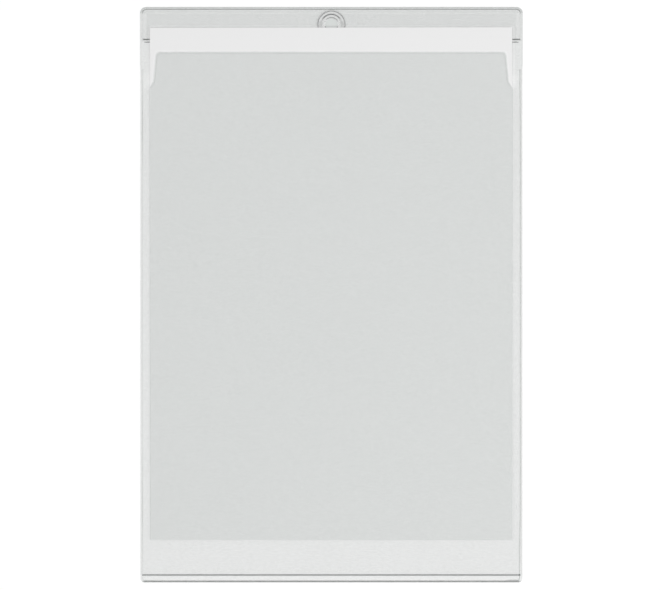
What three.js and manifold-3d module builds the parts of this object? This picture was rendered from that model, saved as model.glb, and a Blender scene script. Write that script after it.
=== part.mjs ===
// A4 hanging document sleeve: two clear films welded around the edge, a doubled header with a ringed hang
// hole, and a plain sheet in the pocket. It lies on its back, with the hang hole toward +Y.
// Lengths are in millimetres. X runs across, Y along and Z up from the surface that it lies on.

import * as THREE from 'three';
import { mergeVertices } from 'three/addons/utils/BufferGeometryUtils.js';
import Module from 'manifold-3d';

// Plain A4 sheet, which the sleeve is made for
const sheetWidth = 210;
const sheetLength = 297;
const sheetThickness = 0.25;
const sheetTurn = THREE.MathUtils.degToRad(0.08);
const sheetRun = 28; // length over which the sheet climbs from the back film toward the ring

// Film around the sheet, seen from the front
const sheetFromTop = 12; // from the sleeve's top edge to the sheet's
const sheetFromBottom = 25;
const sheetFromSide = 5.75;
const headerOverhang = 0.25; // the side seams are trimmed a little closer than the header
const topCornerRadius = 3.7;
const bottomCornerRadius = 2.8;

// Thickness of each film
const backFilm = 0.3;
const headerFilm = 0.25;
const frontFilm = 0.25;
const layerGap = 0.02; // between pieces that lie on each other

// Header strip and its weld lines
const headerDepth = 20.7; // from the sleeve's top edge to the strip's lower edge
const headerCornerRadius = 3.2;
const headerWeldInset = 1.85; // from the strip's lower edge to the middle of the line above it
const headerLineInset = 1.15; // from the sleeve's edge to the line that follows it
const weldLineWidth = 0.6;
const weldLineDepth = 0.1;

// Hang hole and the ring around it
const holeFromTop = 10.3;
const holeRadius = 3.5;
const backHoleClearance = 0.3; // around the ring's hole
const spigotRadius = 5.2; // short neck under the ring, which sits in the header strip's hole
const spigotClearance = 0.3;
const rimCrestRadius = 4.9;
const rimCrestWidth = 0.7;
const rimRadius = 6;
const flangeRadius = 8.05;
const flangeHeight = 0.22;
const rimHeight = 0.5;

// Pocket
const sideSeamWidth = 1.9;
const sideLineInset = 1; // from the pocket's side edge to the weld line along it
const bottomSeamWidth = 4.65; // to the middle of the line along the seam's upper side
const bottomLineInset = 0.7;
const seamUpperLineWidth = 1.1;
const sideSeamFromTop = 36; // from the sleeve's top edge to the upper ends of the side seams
const trimRun = 3; // length over which the wider header narrows to the pocket
const trimRadius = 8;
const sheetSideRoom = 1; // flat part of the front film past each side of the sheet
const sheetEndRoom = 1.5; // and below the sheet
const seamEndRadius = 0.8; // outer corner of each side seam's upper end
const seamInnerRadius = 0.2;
const seamFlatRoom = 0.3; // flat film past the inner edge of each seam

// Tab along the pocket's mouth, and the relief cut between it and each side seam
const mouthFromTop = 25.9;
const tabShift = -0.25;
const tabTopInset = 9.15; // from the pocket's edge to the upper corner of the tab
const tabFootInset = 7.55;
const tabFootFromTop = 43.2;
const tabCornerRadius = 1.9;
const reliefInset = 5.2;
const reliefFromTop = 47;
const reliefRadius = 1.2;

const ARC_STEPS = 6;
const SLOPE_STEPS = 5;
const ROUND_STEPS = 48;
const PAST = 1; // how far a cutting solid reaches past what it cuts

// Places worked out from the sizes
const topY = (sheetFromBottom + sheetLength + sheetFromTop) / 2;
const bottomY = -topY;
const pocketHalf = sheetWidth / 2 + sheetFromSide;
const headerHalf = pocketHalf + headerOverhang;
const seamTopY = topY - sideSeamFromTop;
const holeY = topY - holeFromTop;
const headerLowY = topY - headerDepth;
const sheetTopY = topY - sheetFromTop;
const sheetMidY = sheetTopY - sheetLength / 2;
const sheetLift = headerFilm + rimHeight + 2 * layerGap; // where the sheet lies on the ring's rim
const sheetFlatY = holeY - rimRadius - PAST;
const sheetRunY = Math.min(headerLowY, sheetFlatY) - sheetRun;

const wasm = await Module();
wasm.setup();

// A closed three.js geometry as a solid that can be joined and cut
function toSolid(geometry) {
  geometry.deleteAttribute('normal');
  geometry.deleteAttribute('uv');
  const merged = mergeVertices(geometry, 1e-5);
  return new wasm.Manifold(new wasm.Mesh({
    numProp: 3,
    vertProperties: merged.attributes.position.array,
    triVerts: Uint32Array.from(merged.index.array),
  }));
}

function toGeometry(solid) {
  const mesh = solid.getMesh();
  const geometry = new THREE.BufferGeometry();
  geometry.setAttribute('position', new THREE.BufferAttribute(mesh.vertProperties, 3));
  geometry.setIndex(new THREE.BufferAttribute(mesh.triVerts, 1));
  geometry.computeVertexNormals();
  return geometry;
}

// An outline through corners given as [x, y, radius], counterclockwise, each rounded by an arc
function roundedShape(corners) {
  const shape = new THREE.Shape();
  corners.forEach(([x, y, radius], i) => {
    const corner = new THREE.Vector2(x, y);
    const before = corners.at(i - 1);
    const after = corners[(i + 1) % corners.length];
    const back = new THREE.Vector2(before[0] - x, before[1] - y).normalize();
    const on = new THREE.Vector2(after[0] - x, after[1] - y).normalize();
    const half = Math.acos(THREE.MathUtils.clamp(back.dot(on), -1, 1)) / 2;
    const centre = back.clone().add(on).normalize().multiplyScalar(radius / Math.sin(half)).add(corner);
    const start = back.clone().multiplyScalar(radius / Math.tan(half)).add(corner).sub(centre);
    const end = on.clone().multiplyScalar(radius / Math.tan(half)).add(corner).sub(centre);
    const clockwise = back.cross(on) > 0;
    shape.absarc(centre.x, centre.y, radius, start.angle(), end.angle(), clockwise);
  });
  return shape;
}

function prism(shape, low, high) {
  const geometry = new THREE.ExtrudeGeometry(shape, {
    depth: high - low,
    bevelEnabled: false,
    curveSegments: ARC_STEPS,
  });
  return toSolid(geometry.translate(0, 0, low));
}

function block(x, y, width, length, low, high) {
  const geometry = new THREE.BoxGeometry(width, length, high - low);
  return toSolid(geometry.translate(x, y, (low + high) / 2));
}

// A sheet of even thickness over a grid of stations, whose underside has the height that rise(x, y) gives
function drapedSheet(xs, ys, thickness, rise) {
  const corners = [];
  const faces = [];
  for (const above of [0, thickness]) {
    for (const y of ys) {
      for (const x of xs) corners.push(x, y, rise(x, y) + above);
    }
  }
  const layer = xs.length * ys.length;
  const quad = (a, b, c, d) => faces.push(a, b, c, a, c, d);
  const wall = (a, b) => quad(a, b, b + layer, a + layer);
  for (let j = 0; j < ys.length - 1; j += 1) {
    for (let i = 0; i < xs.length - 1; i += 1) {
      const a = j * xs.length + i;
      const b = a + xs.length;
      quad(a, b, b + 1, a + 1);
      quad(a + layer, a + 1 + layer, b + 1 + layer, b + layer);
    }
  }
  const lastRow = layer - xs.length;
  for (let i = 0; i < xs.length - 1; i += 1) {
    wall(i, i + 1);
    wall(lastRow + i + 1, lastRow + i);
  }
  for (let j = 0; j < ys.length - 1; j += 1) {
    const row = j * xs.length;
    wall(row + xs.length, row);
    wall(row + xs.length - 1, row + 2 * xs.length - 1);
  }
  const geometry = new THREE.BufferGeometry();
  geometry.setAttribute('position', new THREE.Float32BufferAttribute(corners, 3));
  geometry.setIndex(faces);
  return geometry;
}

function stations(from, to, steps) {
  return Array.from({ length: steps + 1 }, (_, i) => THREE.MathUtils.lerp(from, to, i / steps));
}

// Height of the sheet's underside above the back film: flat in the pocket, then up over the header's edge
// and onto the ring's rim
function sheetRise(y) {
  const share = (y - sheetRunY) / (sheetFlatY - sheetRunY);
  return sheetLift * THREE.MathUtils.clamp(share, 0, 1);
}

function hangHole(radius) {
  const geometry = new THREE.CylinderGeometry(1, 1, 1, ROUND_STEPS).rotateX(Math.PI / 2);
  geometry.scale(radius, radius, 2 * (backFilm + headerFilm + PAST));
  return toSolid(geometry.translate(0, holeY, 0));
}

// A weld line pressed into a film's upper face, just inside a rounded rectangle
function weldRing(halfWidth, low, high, radius, upperFace) {
  const outline = (inset) => roundedShape([
    [inset - halfWidth, low + inset, radius - inset],
    [halfWidth - inset, low + inset, radius - inset],
    [halfWidth - inset, high - inset, radius - inset],
    [inset - halfWidth, high - inset, radius - inset],
  ]);
  const outer = prism(outline(0), upperFace - weldLineDepth, upperFace + PAST);
  return outer.subtract(prism(outline(weldLineWidth), upperFace - 2 * PAST, upperFace + 2 * PAST));
}

// A straight one across the sleeve, at a given height along it
function weldLine(halfLength, y, width, upperFace) {
  return block(0, y, 2 * halfLength, width, upperFace - weldLineDepth, upperFace + PAST);
}

function backPanel() {
  const shape = roundedShape([
    [-pocketHalf, bottomY, bottomCornerRadius],
    [pocketHalf, bottomY, bottomCornerRadius],
    [pocketHalf, seamTopY, trimRadius],
    [headerHalf, seamTopY + trimRun, trimRadius],
    [headerHalf, topY, topCornerRadius],
    [-headerHalf, topY, topCornerRadius],
    [-headerHalf, seamTopY + trimRun, trimRadius],
    [-pocketHalf, seamTopY, trimRadius],
  ]);
  return toGeometry(prism(shape, 0, backFilm).subtract(hangHole(holeRadius + backHoleClearance)));
}

function headerStrip() {
  const shape = roundedShape([
    [-headerHalf, headerLowY, headerCornerRadius],
    [headerHalf, headerLowY, headerCornerRadius],
    [headerHalf, topY, topCornerRadius],
    [-headerHalf, topY, topCornerRadius],
  ]);
  const edgeHalf = headerHalf - headerLineInset;
  const edgeRadius = topCornerRadius - headerLineInset;
  const edge = weldRing(edgeHalf, bottomY, topY - headerLineInset, edgeRadius, headerFilm);
  const lineY = headerLowY + headerWeldInset;
  const line = weldLine(edgeHalf - weldLineWidth / 2, lineY, weldLineWidth, headerFilm);
  const strip = prism(shape, 0, headerFilm).subtract(hangHole(spigotRadius + spigotClearance));
  return toGeometry(strip.subtract(edge).subtract(line));
}

function hangEyelet() {
  const chamfer = flangeHeight / 2;
  const spigotDepth = headerFilm + layerGap;
  const profile = [
    [holeRadius, -spigotDepth],
    [spigotRadius, -spigotDepth],
    [spigotRadius, 0],
    [flangeRadius, 0],
    [flangeRadius, chamfer],
    [flangeRadius - chamfer, flangeHeight],
    [rimRadius, flangeHeight],
    [(rimRadius + rimCrestRadius + rimCrestWidth / 2) / 2, (flangeHeight + 2 * rimHeight) / 3],
    [rimCrestRadius + rimCrestWidth / 2, rimHeight],
    [rimCrestRadius - rimCrestWidth / 2, rimHeight],
    [(holeRadius + rimCrestRadius) / 2, (flangeHeight + rimHeight) / 2],
    [holeRadius, chamfer],
    [holeRadius, -spigotDepth],
  ];
  const points = profile.map(([radius, height]) => new THREE.Vector2(radius, height));
  return new THREE.LatheGeometry(points, ROUND_STEPS).rotateX(Math.PI / 2);
}

function insertSheet() {
  const xs = [-sheetWidth / 2, sheetWidth / 2];
  const ys = [-sheetLength / 2, sheetRunY - sheetMidY, sheetFlatY - sheetMidY, sheetLength / 2];
  return drapedSheet(xs, ys, sheetThickness, (x, y) => sheetRise(y + sheetMidY));
}

// The front film lies flat on the sheet and curves down to the seams on three sides
function frontPanel() {
  const flatHalf = sheetWidth / 2 + sheetSideRoom;
  const seamInnerX = pocketHalf - sideSeamWidth;
  const seamInnerY = bottomY + bottomSeamWidth;
  const slopeHalf = seamInnerX - seamFlatRoom;
  const flatLowY = sheetTopY - sheetLength - sheetEndRoom;
  const slopeLowY = seamInnerY + seamFlatRoom;
  const mouthY = topY - mouthFromTop;
  const smooth = THREE.MathUtils.smoothstep;
  const rise = (x, y) => {
    const across = 1 - smooth(Math.abs(x), flatHalf, slopeHalf);
    const along = smooth(y, slopeLowY, flatLowY);
    return (sheetRise(y) + sheetThickness + layerGap) * across * along;
  };
  const sideXs = [...stations(flatHalf, slopeHalf, SLOPE_STEPS), pocketHalf + PAST];
  const xs = [...sideXs.map((x) => -x).reverse(), ...sideXs];
  const runY = Math.min(sheetRunY, mouthY);
  const ys = [bottomY - PAST, ...stations(slopeLowY, flatLowY, SLOPE_STEPS)];
  ys.push(...stations(runY, mouthY + PAST, 1));
  const draped = toSolid(drapedSheet(xs, ys, frontFilm, rise));

  const footY = topY - tabFootFromTop;
  const reliefY = topY - reliefFromTop;
  const rightSide = [
    [pocketHalf, bottomY, bottomCornerRadius],
    [pocketHalf, seamTopY, seamEndRadius],
    [seamInnerX, seamTopY, seamInnerRadius],
    [seamInnerX, reliefY, reliefRadius],
    [pocketHalf - reliefInset, reliefY, reliefRadius],
    [tabShift + pocketHalf - tabFootInset, footY, tabCornerRadius],
    [tabShift + pocketHalf - tabTopInset, mouthY, tabCornerRadius],
  ];
  const leftSide = [
    [tabShift - pocketHalf + tabTopInset, mouthY, tabCornerRadius],
    [tabShift - pocketHalf + tabFootInset, footY, tabCornerRadius],
    [reliefInset - pocketHalf, reliefY, reliefRadius],
    [-seamInnerX, reliefY, reliefRadius],
    [-seamInnerX, seamTopY, seamInnerRadius],
    [-pocketHalf, seamTopY, seamEndRadius],
    [-pocketHalf, bottomY, bottomCornerRadius],
  ];
  const outline = roundedShape([...rightSide, ...leftSide]);
  const edgeHalf = pocketHalf - sideLineInset;
  const edgeRadius = bottomCornerRadius - bottomLineInset;
  const edge = weldRing(edgeHalf, bottomY + bottomLineInset, topY, edgeRadius, frontFilm);
  const line = weldLine(edgeHalf - weldLineWidth / 2, seamInnerY, seamUpperLineWidth, frontFilm);
  const cut = draped.intersect(prism(outline, -PAST, sheetLift + 2 * PAST));
  return toGeometry(cut.subtract(edge).subtract(line));
}

function film(color, opacity) {
  return new THREE.MeshStandardMaterial({ color, roughness: 0.3, metalness: 0, transparent: true, opacity });
}

const backMaterial = film(0xd9dcda, 0.35);
const headerMaterial = film(0xd6dad8, 0.35);
const frontMaterial = film(0xdcdfdd, 0.3);
const eyeletMaterial = film(0xe2e5e3, 0.5);
const sheetMaterial = new THREE.MeshStandardMaterial({ color: 0xebebeb, roughness: 0.9, metalness: 0 });

const sleeve = new THREE.Group();

function add(name, geometry, material, x, y, z) {
  const mesh = new THREE.Mesh(geometry, material);
  mesh.name = name;
  mesh.position.set(x, y, z);
  sleeve.add(mesh);
  return mesh;
}

const onBack = backFilm + layerGap;
const onHeader = onBack + headerFilm + layerGap;

add('back_panel', backPanel(), backMaterial, 0, 0, 0);
add('header_strip', headerStrip(), headerMaterial, 0, 0, onBack);
add('hang_eyelet', hangEyelet(), eyeletMaterial, 0, holeY, onHeader);
const sheet = add('insert_sheet', insertSheet(), sheetMaterial, 0, sheetMidY, onBack);
sheet.rotation.z = sheetTurn;
add('front_panel', frontPanel(), frontMaterial, 0, 0, onBack);

export default sleeve;
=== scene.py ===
# %% [markdown]
# # An A4 hanging document sleeve
# Two clear films are welded together round three sides, with a doubled header and a ringed hang hole at the
# top and a plain sheet in the pocket. The measured solids are loaded first, and they could be shown as they
# are, in one flat colour each. A clear sleeve is mostly finish, though: haze, weld lines and edges. So this
# lesson gives each solid a finish of its own, models the ring again with a finer shape, and then lights and
# frames the sleeve as it lies on a white table, seen from straight above.

# %% Load the solids
import math

import bpy
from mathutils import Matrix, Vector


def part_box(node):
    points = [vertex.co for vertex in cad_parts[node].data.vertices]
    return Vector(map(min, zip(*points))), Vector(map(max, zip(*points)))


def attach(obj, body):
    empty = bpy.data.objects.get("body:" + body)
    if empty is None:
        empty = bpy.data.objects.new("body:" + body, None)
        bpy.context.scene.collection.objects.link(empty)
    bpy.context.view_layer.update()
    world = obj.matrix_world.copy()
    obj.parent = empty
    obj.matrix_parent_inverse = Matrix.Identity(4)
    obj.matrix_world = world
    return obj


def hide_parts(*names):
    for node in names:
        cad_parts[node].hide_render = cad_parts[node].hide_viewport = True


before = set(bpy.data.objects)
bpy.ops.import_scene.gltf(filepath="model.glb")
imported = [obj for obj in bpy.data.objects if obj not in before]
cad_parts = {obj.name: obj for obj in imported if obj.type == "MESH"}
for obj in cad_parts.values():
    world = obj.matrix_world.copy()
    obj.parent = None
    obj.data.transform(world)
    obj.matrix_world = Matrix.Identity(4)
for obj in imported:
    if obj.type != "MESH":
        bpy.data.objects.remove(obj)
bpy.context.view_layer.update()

# %% [markdown]
# ## Sizes on the sleeve
# Blender works in metres, but film and weld lines are easier to think of in millimetres. The corners of the
# pieces could be typed in, but they would go stale when a solid changes, so they are read from the solids.
# What can't be read from a box, such as where a weld line runs, is written down here once, as on a drawing.

# %% Where the pieces and the weld lines lie
MM = 0.001


def corners(node):
    """A solid's lowest and highest corner, in millimetres."""
    low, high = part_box(node)
    return [value / MM for value in low], [value / MM for value in high]


back_low, back_high = corners("back_panel")
header_low, header_high = corners("header_strip")
sheet_low, sheet_high = corners("insert_sheet")
pocket_low, pocket_high = corners("front_panel")
ring_low, ring_high = corners("hang_eyelet")
header_half = header_high[0]
pocket_half = pocket_high[0]
hole_y = (ring_low[1] + ring_high[1]) / 2
sheet_middle = (0.0, (sheet_low[1] + sheet_high[1]) / 2)
sheet_half = (105.0, 148.5)

# The tab's outline, on the right-hand side
tab_middle = -0.25
mouth_y = 141.1
tab_corner = (pocket_half - 9.15, mouth_y)
tab_foot = (pocket_half - 7.55, 123.8)
relief_foot = (pocket_half - 5.2, 120.0)

# From an edge of the film to the middle of the weld line inside it
header_line_inset = 1.5
header_low_line = 1.85
side_line_inset = 1.12
bottom_line_inset = 0.95
seam_upper_line = 4.58
print("hole at", round(hole_y, 2), "sheet middle", sheet_middle, "header half", round(header_half, 2))

# %% [markdown]
# ## Arithmetic on sockets
# A procedural finish is mostly arithmetic: how far is this point from the weld, and is it over the sheet?
# A Math node could be added by hand for every plus sign, but that hides the sum. So a small class wraps a
# node's output and lets Python's own operators add the nodes. The reflected forms let a plain number stand
# on the left. Every other node comes from one method, which takes its type, its settings and its values.

# %% A socket that takes part in Python sums


class Wire:
    """A node's output, which plain arithmetic can use."""

    def __init__(self, finish, socket):
        self.finish = finish
        self.socket = socket

    def math(self, operation, *others):
        values = dict(enumerate([self, *others]))
        return self.finish.node("ShaderNodeMath", {"operation": operation}, values)

    def __add__(self, other):
        return self.math("ADD", other)

    def __sub__(self, other):
        return self.math("SUBTRACT", other)

    def __rsub__(self, other):
        return self.finish.node("ShaderNodeMath", {"operation": "SUBTRACT"}, {0: other, 1: self})

    def __mul__(self, other):
        return self.math("MULTIPLY", other)

    def __abs__(self):
        return self.math("ABSOLUTE")

    __radd__ = __add__
    __rmul__ = __mul__

    def at_least(self, other):
        return self.math("MAXIMUM", other)

    def at_most(self, other):
        return self.math("MINIMUM", other)


class Nodes:
    """The nodes of one material or of the sky."""

    def __init__(self, tree, output_kind):
        self.tree = tree
        self.tree.nodes.clear()
        self.output = self.node(output_kind, {}, {})

    def node(self, kind, settings, values, output=0):
        node = self.tree.nodes.new(kind)
        for name, setting in settings.items():
            setattr(node, name, setting)
        for key, value in values.items():
            self.feed(node.inputs[key], value)
        return Wire(self, node.outputs[output]) if node.outputs else node

    def feed(self, socket, value):
        if isinstance(value, Wire):
            self.tree.links.new(value.socket, socket)
        else:
            socket.default_value = value

    def show(self, shader):
        self.feed(self.output.inputs["Surface"], shader)

    def seen(self):
        """1 for a ray from the camera or off a glossy or clear thing, and 0 for light on the sleeve."""
        kinds = ("Is Camera Ray", "Is Glossy Ray", "Is Transmission Ray")
        rays = [self.node("ShaderNodeLightPath", {}, {}, kind) for kind in kinds]
        return rays[0].at_least(rays[1]).at_least(rays[2])


class Finish(Nodes):
    """A procedural material with one Principled shader."""

    def __init__(self, name):
        self.material = bpy.data.materials.new(name)
        self.material.use_nodes = True
        super().__init__(self.material.node_tree, "ShaderNodeOutputMaterial")
        self.lit = self.node("ShaderNodeBsdfPrincipled", {}, {})
        self.show(self.lit)

    def set(self, **values):
        for name, value in values.items():
            self.feed(self.lit.socket.node.inputs[name.replace("_", " ")], value)

    def place(self):
        """The point on the piece in millimetres, then how far across and how far along the sleeve it is."""
        point = self.node("ShaderNodeTexCoord", {}, {}, "Object")
        point = self.node("ShaderNodeVectorMath", {"operation": "SCALE"}, {0: point, "Scale": 1 / MM})
        x, y = [self.node("ShaderNodeSeparateXYZ", {}, {0: point}, axis) for axis in "XY"]
        return point, x, y

    def mix(self, share, first, second):
        """One colour turning into another."""
        return self.node("ShaderNodeMix", {"data_type": "RGBA"}, {0: share, 6: first, 7: second}, 2)

    def noise(self, point, scale, detail, stretch=(1, 1, 1)):
        """Noise round 0, of about 1 from end to end."""
        point = self.node("ShaderNodeVectorMath", {"operation": "MULTIPLY"}, {0: point, 1: stretch})
        return self.node("ShaderNodeTexNoise", {}, {0: point, "Scale": scale, "Detail": detail}) - 0.5

    def bump(self, height, distance, strength):
        """Small relief: the height is multiplied by the distance, in metres."""
        values = {"Strength": strength, "Distance": distance, "Height": height}
        return self.node("ShaderNodeBump", {}, values, "Normal")


print("finishes are built from", Finish.__name__, "and", Wire.__name__)

# %% [markdown]
# ## Distances that draw the lines
# Every line on the sleeve follows an edge at a fixed distance, because the welding die and the cutting die
# are made from the same outline. The lines could be thin pieces of their own, but at half a millimetre they
# would flicker from afar. One function for a rounded rectangle and one for a straight cut are enough to
# draw them all, and a soft step keeps the lines smooth when they are thinner than a pixel. All the films
# share one more thing, the faint streaks that are left where film is drawn over a roller.

# %% Soft steps, lines and outlines


def step(value, start, end):
    """0 up to start and 1 from end on, with a soft rise between them."""
    settings = {"interpolation_type": "SMOOTHSTEP"}
    values = {"Value": value, "From Min": start, "From Max": end}
    return value.finish.node("ShaderNodeMapRange", settings, values)


def line(distance, centre, width, blur=0.25):
    """1 on a line at this distance, and 0 away from it."""
    return 1 - step(abs(distance - centre), width / 2 - blur, width / 2 + blur)


def near(value, centre, reach):
    """1 at the centre, with a soft fall to 0 at its reach on both sides."""
    return 1 - step(abs(value - centre), 0, reach)


def outside(x, y, middle, half, radius):
    """How far a point is outside a rounded rectangle: less than 0 within it."""
    across = abs(x - middle[0]) - (half[0] - radius)
    along = abs(y - middle[1]) - (half[1] - radius)
    over_x = across.at_least(0)
    over_y = along.at_least(0)
    corner = (over_x * over_x + over_y * over_y).math("SQRT")
    return corner + across.at_least(along).at_most(0) - radius


def past_cut(x, y, start, end):
    """How far a point is outside a straight cut that runs down from start to end."""
    run_x = end[0] - start[0]
    run_y = end[1] - start[1]
    length = math.hypot(run_x, run_y)
    return (x - start[0]) * (-run_y / length) + (y - start[1]) * (run_x / length)


def past_tab(x, y):
    """How far a point is outside the tab along the pocket's mouth, with its corners rounded."""
    across = abs(x - tab_middle)
    side = past_cut(across, y, tab_corner, tab_foot)
    foot = past_cut(across, y, tab_foot, relief_foot)
    return (y - mouth_y).math("SMOOTH_MAX", side.at_most(foot), 4)


def beside_tab(y):
    """1 where the tab's free edge runs, and 0 below the foot of the relief cut."""
    return step(y, relief_foot[1] - 1, relief_foot[1] + 1)


def from_hole(x, y):
    """How far a point is from the middle of the hang hole."""
    up = y - hole_y
    return (x * x + up * up).math("SQRT")


def film_alpha(total):
    """Cover of each face of a film, from the cover of its two faces together."""
    return 1 - math.sqrt(1 - total)


def film_grain(finish, point, scale):
    """The fine grain of drawn film: streaks 2 mm across and well under 1 mm along the sleeve."""
    return finish.noise(point, scale, 2, (0.42, 1.4, 1))


print("one face of a film with a cover of 0.2 has", round(film_alpha(0.2), 3))

# %% [markdown]
# ## The sheet in the pocket
# The sheet is plain pale grey paper, the one opaque piece, and it sets the level that everything else is
# judged by. It could be one flat colour, but that would look like plastic. So two noises are added: long
# soft fibres that change the tone by less than one per cent, and a fine tooth in the bump that takes the
# shine off at low angles. A thin paler line along the tab's cut edge is a painted highlight, for the light
# that the film's edge throws on the sheet.

# %% Paper finish
PAPER_DARKER = (0.767, 0.767, 0.768, 1)
PAPER_LIGHTER = (0.783, 0.783, 0.782, 1)
PAPER_PAINTED_HIGHLIGHT = (0.80, 0.80, 0.80, 1)
paper = Finish("pale_grey_paper")
point, x, y = paper.place()
fibres = paper.noise(point, 0.9, 3, (1, 0.35, 1))
clouds = paper.noise(point, 0.03, 2)
tooth = paper.noise(point, 4.5, 4)
# painted highlight: a paler line on the sheet along the tab's cut edge
painted_edge_highlight = line(past_tab(x, y), 0.5, 0.7) * beside_tab(y)
tone = 0.5 + fibres * 0.35 + clouds * 0.5
colour = paper.mix(tone, PAPER_DARKER, PAPER_LIGHTER)
colour = paper.mix(painted_edge_highlight, colour, PAPER_PAINTED_HIGHLIGHT)
paper.set(Base_Color=colour, Roughness=0.85, IOR=1.4)
paper.set(Normal=paper.bump(tooth, 0.03 * MM, 0.25))
print("paper nodes", len(paper.tree.nodes))

# %% [markdown]
# ## The back film
# Rigid clear film is never quite invisible: it has a slight grey-green haze. A glass shader would be the
# obvious way, but it needs far more light paths and doesn't survive the export. So the haze is written as
# cover: a faint colour with a low alpha on both faces of the film. The haze is a little stronger up the
# sleeve and behind the header, weaker where the bottom weld has pressed the film clear, and the cut edge,
# where a clear film shows most, gets a little more.

# %% Back film finish
BACK_HAZE = (0.335, 0.365, 0.35, 1)
back = Finish("clear_back_film")
point, x, y = back.place()
edge = outside(x, y, (0, 0), (pocket_half, back_high[1]), 3)
haze = back.noise(point, 0.02, 2)
grain = film_grain(back, point, 1.0)
up_the_sleeve = step(y, -110, 110)
above_side_welds = step(y, 126, 131)
on_bottom_seam = 1 - step(y, back_low[1] + 4.2, back_low[1] + 4.8)
cut_edge = line(edge, -0.3, 0.6)
from_sheet = outside(x, y, sheet_middle, sheet_half, 0.5)
# painted highlight: the back film is thinned along the sheet's edge, which lightens the sheet's shadow
# there
painted_sheet_gleam = line(from_sheet, 0.6, 1.4, 0.5) * step(y, 118, 124)
more = up_the_sleeve * 0.015 + above_side_welds * 0.022 + cut_edge * 0.02
less = on_bottom_seam * 0.035 + painted_sheet_gleam * 0.045
cover = film_alpha(0.232) + more - less + haze * 0.01 + grain * 0.065
back.set(Base_Color=BACK_HAZE, Alpha=cover, Roughness=0.28 + grain * 0.08)
back.set(Normal=back.bump(grain, 0.02 * MM, 0.15))
print("back film nodes", len(back.tree.nodes))

# %% [markdown]
# ## The header strip
# The strip is welded to the back film along its outer edges, and along a line just above its lower edge.
# The weld presses a narrow groove, whose steep walls bend the light away and look dark. The line along the
# top is the strongest. Down the sides the weld is shallower, and it leaves a paler border. Deeper grooves
# with a real glass shader could give these darks by themselves, but the film is only a quarter of a
# millimetre thick. A thin painted contact shadow runs round the strip just outside the ring's flange, and
# thin painted highlights lie just inside the top weld and along the sheet's edge.
# The grooves are in the solid, and the finish finds them again by their distance from the edge.

# %% Header strip finish
FILM_HAZE = (0.555, 0.59, 0.575, 1)
DARK_LINE = (0.06, 0.065, 0.065, 1)
header = Finish("clear_header_film")
point, x, y = header.place()
edge = outside(x, y, (0, 0), (header_half, header_high[1]), 3.7)
above_edge = y - header_low[1]
in_from_side = header_half - abs(x)
grain = film_grain(header, point, 1.1)
haze = header.noise(point, 0.02, 2)
near_top = step(y, header_high[1] - 4.5, header_high[1] - 2.5)
down_sides = 1 - near_top
top_line = line(edge, -header_line_inset, 0.55, 0.15) * near_top
top_border = step(edge, -header_line_inset, -1.2) * near_top
# painted highlight: a paler line just inside the top weld
painted_top_highlight = line(edge, -2.05, 0.6, 0.15) * near_top
side_line = line(edge, -header_line_inset, 0.8) * down_sides
side_border = step(edge, -4.6, -3.2) * down_sides
low_line = line(above_edge, header_low_line, 0.75, 0.15) * step(in_from_side, 1.4, 1.8)
low_edge = line(above_edge, 0.25, 0.5, 0.15) * step(in_from_side, 2.2, 3.0)
# painted contact shadow: a thin dark line round the strip just outside the ring's flange
painted_flange_shadow = line(from_hole(x, y), 8.35, 0.6)
from_sheet = outside(x, y, sheet_middle, sheet_half, 0.5)
# painted highlight: the header film is thinned along the sheet's edge, which lightens the sheet's shadow
# there
painted_sheet_gleam = line(from_sheet, 0.6, 1.4, 0.5)
dark = top_line * 0.62 + top_border * 0.22 + side_line * 0.09 + painted_flange_shadow * 0.18
dark = (dark + low_line + low_edge).at_most(1)
less = side_border * film_alpha(0.12) + painted_top_highlight * 0.1 + painted_sheet_gleam * 0.03
cover = film_alpha(0.142) - less + dark * 0.42 + haze * 0.01 + grain * 0.04
colour = header.mix(dark, FILM_HAZE, DARK_LINE)
header.set(Base_Color=colour, Alpha=cover.at_least(0.01), Roughness=0.25 + grain * 0.08)
header.set(Normal=header.bump(grain, 0.02 * MM, 0.15))
print("header strip nodes", len(header.tree.nodes))

# %% [markdown]
# ## The front film
# Over the sheet the front film reads as an even grey veil with a very fine anti-glare grain. Over the back
# film alone it clings and almost disappears. Two pieces with two finishes could show that, but it is one
# film, so the finish asks whether a point lies over the sheet. The weld lines and the free edge of the tab
# are then added as thin lines of denser, darker film. The side welds are not even: the right one wanders by
# half a millimetre, and the left one is stronger near its ends.

# %% Front film finish
VEIL = (0.55, 0.595, 0.575, 1)
front = Finish("clear_front_film")
point, x, y = front.place()
above_edge = y - pocket_low[1]
in_from_side = pocket_half - abs(x)
edge = outside(x, y, (0, 100), (pocket_half, 100 - pocket_low[1]), 2.8)
on_sheet = 1 - step(outside(x, y, sheet_middle, sheet_half, 0.2), -0.2, 0.3)

low_end = 1 - step(y, -152, -120)
wander = low_end * 0.5 + step(y, 100, 125) * 0.28
right_line = line(edge + wander, -side_line_inset, 0.55) * (0.4 + low_end * 0.06)
left_ends = near(y, 99, 34) * 0.3 + near(y, -124, 34) * 0.22
left_line = line(edge, -1.2, 0.55) * (0.11 + left_ends)
side_lines = step(x, 100, 104) * right_line + step(0 - x, 100, 104) * left_line
bottom_line = line(above_edge, bottom_line_inset, 0.7) * step(in_from_side, 0.4, 2.6)
upper_line = line(above_edge, seam_upper_line, 1.0, 0.12) * step(in_from_side, 0.8, 1.4)

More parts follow.
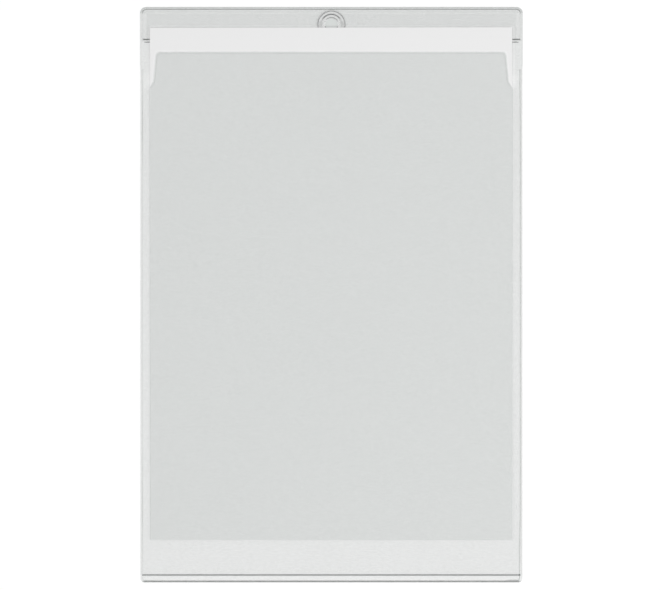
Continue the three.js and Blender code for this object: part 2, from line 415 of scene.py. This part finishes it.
cut = past_tab(x, y)
free_edge = line(cut, -1.05, 0.65) * beside_tab(y)
thin_edge = step(cut, -0.5, -0.1) * beside_tab(y)
grain = film_grain(front, point, 0.95)
speck = front.noise(point, 1.6, 3)
clouds = front.noise(point, 0.012, 2)
dark = (upper_line * 0.76 + bottom_line + side_lines + free_edge * 0.08).at_most(1)
veil = film_alpha(0.241) + grain * 0.055 + speck * 0.008 + clouds * 0.008
clear = film_alpha(0.02) + speck * 0.003
cover = clear + (veil - clear) * on_sheet * (1 - thin_edge * 0.8) + dark * 0.5
front.set(Base_Color=front.mix(dark, VEIL, DARK_LINE), Alpha=cover, Roughness=0.32 + speck * 0.1)
front.set(Normal=front.bump(grain + speck, 0.03 * MM, 0.2))
print("front film nodes", len(front.tree.nodes))

# %% [markdown]
# ## The ring round the hang hole
# The ring is a small moulding of clear plastic: a flat flange, a rounded rim and a short neck that sits in
# the header's hole. The measured solid has few faces, so the ring is modelled again. A torus on a disc
# would be quick, but their walls would cross inside the clear plastic. So a circle is extruded loop by loop
# along the section, each loop resized about the hole's centre, which is a lathe made by hand. The first and
# the last loop meet and are merged, so the shape is closed.

# %% Model the ring
RING_STEPS = 120
SMOOTH_BELOW = math.radians(40)
ring_section = [
    (3.50, 0.32), (5.20, 0.32), (5.20, 0.60), (7.97, 0.60), (8.05, 0.64), (8.05, 0.72), (8.01, 0.77),
    (7.90, 0.80), (7.70, 0.81), (6.40, 0.81), (6.10, 0.82), (5.88, 0.86), (5.70, 0.93), (5.52, 1.01),
    (5.32, 1.06), (5.10, 1.085), (4.88, 1.09), (4.66, 1.08), (4.44, 1.04), (4.24, 0.97), (4.05, 0.88),
    (3.88, 0.81), (3.70, 0.76), (3.56, 0.70), (3.50, 0.62), (3.50, 0.32),
]


def lathe(name, middle_y, section):
    """A closed ring, from a circle that is extruded along a section of radii and heights."""
    bpy.ops.object.select_all(action="DESELECT")
    radius, height = section[0]
    place = (0, middle_y * MM, height * MM)
    bpy.ops.mesh.primitive_circle_add(vertices=RING_STEPS, radius=radius * MM, location=place)
    piece = bpy.context.object
    piece.name = name
    bpy.ops.object.transform_apply(location=True, rotation=True, scale=True)
    bpy.ops.object.mode_set(mode="EDIT")
    bpy.ops.mesh.select_mode(type="EDGE")
    bpy.ops.mesh.select_all(action="SELECT")
    for next_radius, next_height in section[1:]:
        rise = (0, 0, (next_height - height) * MM)
        bpy.ops.mesh.extrude_edges_move(TRANSFORM_OT_translate={"value": rise})
        grow = next_radius / radius
        bpy.ops.transform.resize(value=(grow, grow, 1), center_override=(0, middle_y * MM, 0))
        radius, height = next_radius, next_height
    bpy.ops.mesh.select_all(action="SELECT")
    bpy.ops.mesh.remove_doubles(threshold=0.001 * MM)
    bpy.ops.mesh.normals_make_consistent(inside=False)
    bpy.ops.object.mode_set(mode="OBJECT")
    bpy.ops.object.shade_smooth_by_angle(angle=SMOOTH_BELOW)
    return piece


ring = lathe("hang_ring", hole_y, ring_section)
print("ring has", len(ring.data.polygons), "faces")

# %% [markdown]
# ## Clear moulded plastic
# Where the moulding is flat one sees straight through it, and where its walls are steep it turns the light
# aside and looks dark: the rim of the flange, the foot of the rounded rim and the wall of the hole. Between
# them the rounded rim catches the lamp and glows. A glass shader would find these by itself, at the cost
# that the back film explains, so here they are painted: painted shade on the steep walls and painted
# highlights on the flange and the rim. These are rings at fixed distances from the hole's centre, so one
# distance draws them all, and the painted arcs are strongest on the upper side, where the light falls from
# above.

# %% Ring finish
RING_CLEAR = (0.93, 0.94, 0.935, 1)
RING_PAINTED_SHADE = (0.04, 0.045, 0.045, 1)
clear_ring = Finish("clear_ring")
_, x, y = clear_ring.place()
radius = from_hole(x, y)
up = y - hole_y
upper_half = step(up, 0.5, 3.5)
top_arc = step(up, 2.0, 4.2)
below_middle = 1 - step(up, -1.2, -0.4)
# painted shade on the steep walls, strongest on the upper side
flange_rim = line(radius, 7.97, 0.66)
rim_foot = line(radius, 6.0, 0.75, 0.3) * top_arc
hole_lip = line(radius, 4.15, 0.7, 0.3) * (0.15 + upper_half * 0.85)
hole_wall = line(radius, 3.66, 0.45, 0.15) * below_middle
dark = (flange_rim * 0.84 + rim_foot * 0.9 + hole_lip * 0.8 + hole_wall).at_most(1)
# painted highlights on the flange and the rounded rim, brighter on the upper side
painted_flange_highlight = line(radius, 6.9, 1.0, 0.4) * (0.3 + upper_half * 0.7)
painted_rim_highlight = line(radius, 5.05, 0.8, 0.4) * upper_half * 0.7
cover = 0.03 + dark * 0.5 + (painted_flange_highlight + painted_rim_highlight) * 0.33
clear_ring.set(Base_Color=clear_ring.mix(dark, RING_CLEAR, RING_PAINTED_SHADE), Alpha=cover, Roughness=0.12)
print("ring nodes", len(clear_ring.tree.nodes))

# %% [markdown]
# ## Dress the pieces
# A piece that comes from the measured solids keeps its mesh and only changes its material slot. The new
# ring rides on the same body as the rest, and it stands in for the plain ring, which is hidden. Deleting
# the plain ring instead would lose the solid that a hook bears on.

# %% Give each piece its finish


def dress(piece, finish):
    piece.data.materials.clear()
    piece.data.materials.append(finish.material)


solid_finishes = {
    "back_panel": back,
    "header_strip": header,
    "insert_sheet": paper,
    "front_panel": front,
}
for node, finish in solid_finishes.items():
    dress(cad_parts[node], finish)
dress(ring, clear_ring)
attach(ring, "root")
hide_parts("hang_eyelet")
print("dressed", len(solid_finishes), "solids and the ring")

# %% [markdown]
# ## A white table
# The sleeve lies on a white table. Its film darkens the table under it, which is what makes a clear film
# show, so a plain glowing floor would not do and the table has to take light and shade. A part of its
# brightness is added for the camera alone, so that the open table is clean white while the shade under the
# sleeve stays. In the small disc under the hang hole the table is painted grey as shade, and less of the
# camera's white is added there.

# %% Table
TABLE_WIDTH = 6
TABLE_HEIGHT = -0.1 * MM
WHITE = (1, 1, 1, 1)
PAINTED_HOLE_SHADE = (0.555, 0.585, 0.57, 1)
bpy.ops.object.select_all(action="DESELECT")
bpy.ops.mesh.primitive_plane_add(size=TABLE_WIDTH, location=(0, 0, TABLE_HEIGHT))
table = bpy.context.object
table.name = "white_table"
bpy.ops.object.transform_apply(location=True, rotation=True, scale=True)
table_top = Finish("white_table_top")
_, x, y = table_top.place()
# painted shade: a grey disc on the table under the hang hole, which also gets less of the camera's white
painted_hole_shade = 1 - step(from_hole(x, y), 3.6, 4.0)
table_top.set(Base_Color=table_top.mix(painted_hole_shade, WHITE, PAINTED_HOLE_SHADE), Roughness=1.0, IOR=1.0)
white_glow = table_top.node("ShaderNodeEmission", {}, {"Color": WHITE, "Strength": 1.0})
glow_share = table_top.seen() * (0.6 - painted_hole_shade * 0.35)
blend = {0: glow_share, 1: table_top.lit, 2: white_glow}
table_top.show(table_top.node("ShaderNodeMixShader", {}, blend))
dress(table, table_top)
print("table is", TABLE_WIDTH, "metres wide")

# %% [markdown]
# ## Soft studio light
# Flat clear things show by their edges, and edges need light from the side. Even light from all round would
# be simpler, but it would leave the sheet without its fine shadow. So one wide lamp stands low at the lower
# right and a weaker one at the upper left, and an even pale sky fills in between them. The levels add up to
# about one on the table, so a colour renders about as it is written. The camera and reflections see the sky
# as plain white, and only the light that it gives the sleeve is held lower.

# %% Sky and lamps
SKY_LEVEL = 0.595


def lamp(name, place, size, power):
    """A round lamp that points at the middle of the sleeve."""
    light = bpy.data.lights.new(name, "AREA")
    light.shape = "DISK"
    light.size = size
    light.energy = power
    lamp_object = bpy.data.objects.new(name, light)
    lamp_object.location = place
    lamp_object.rotation_euler = (-lamp_object.location).to_track_quat("-Z", "Y").to_euler()
    bpy.context.scene.collection.objects.link(lamp_object)


lamp("key_lamp", (1.3, -0.6, 1.45), size=1.2, power=19.5)
lamp("fill_lamp", (-1.0, 0.4, 1.6), size=1.4, power=8.2)
sky = bpy.data.worlds.new("pale_sky")
bpy.context.scene.world = sky
sky.use_nodes = True
sky_nodes = Nodes(sky.node_tree, "ShaderNodeOutputWorld")
strength = sky_nodes.seen() * (1 - SKY_LEVEL) + SKY_LEVEL
sky_nodes.show(sky_nodes.node("ShaderNodeBackground", {}, {"Color": WHITE, "Strength": strength}))
bpy.context.scene.view_settings.view_transform = "Standard"

# %% [markdown]
# ## Camera
# The photograph looks straight down with a long lens, so the outline is a true rectangle. A flat,
# orthographic camera would give the same picture, but a real lens also suits the other views. The frame is
# 660 by 590 pixels with 0.58 mm to a pixel. That gives the width that the lens has to take in, and the
# camera's place follows from where the sleeve's middle and top edge lie in the photograph.

# %% Camera
FRAME_PIXELS = (660, 590)
MM_PER_PIXEL = 0.58
SLEEVE_MIDDLE_PIXEL = 331.4
SLEEVE_TOP_PIXEL = 7.0
SENSOR = 36
DISTANCE = 2.6
camera = bpy.data.cameras.new("camera")
camera.sensor_width = SENSOR
camera.lens = SENSOR * DISTANCE / (FRAME_PIXELS[0] * MM_PER_PIXEL * MM)
camera.clip_start = 0.1
camera.clip_end = 20
camera_object = bpy.data.objects.new("camera", camera)
middle_x = (FRAME_PIXELS[0] / 2 - SLEEVE_MIDDLE_PIXEL) * MM_PER_PIXEL
middle_y = back_high[1] - (FRAME_PIXELS[1] / 2 - SLEEVE_TOP_PIXEL) * MM_PER_PIXEL
camera_object.location = (middle_x * MM, middle_y * MM, DISTANCE)
bpy.context.scene.collection.objects.link(camera_object)
bpy.context.scene.camera = camera_object
print("lens", round(camera.lens, 1), "mm")
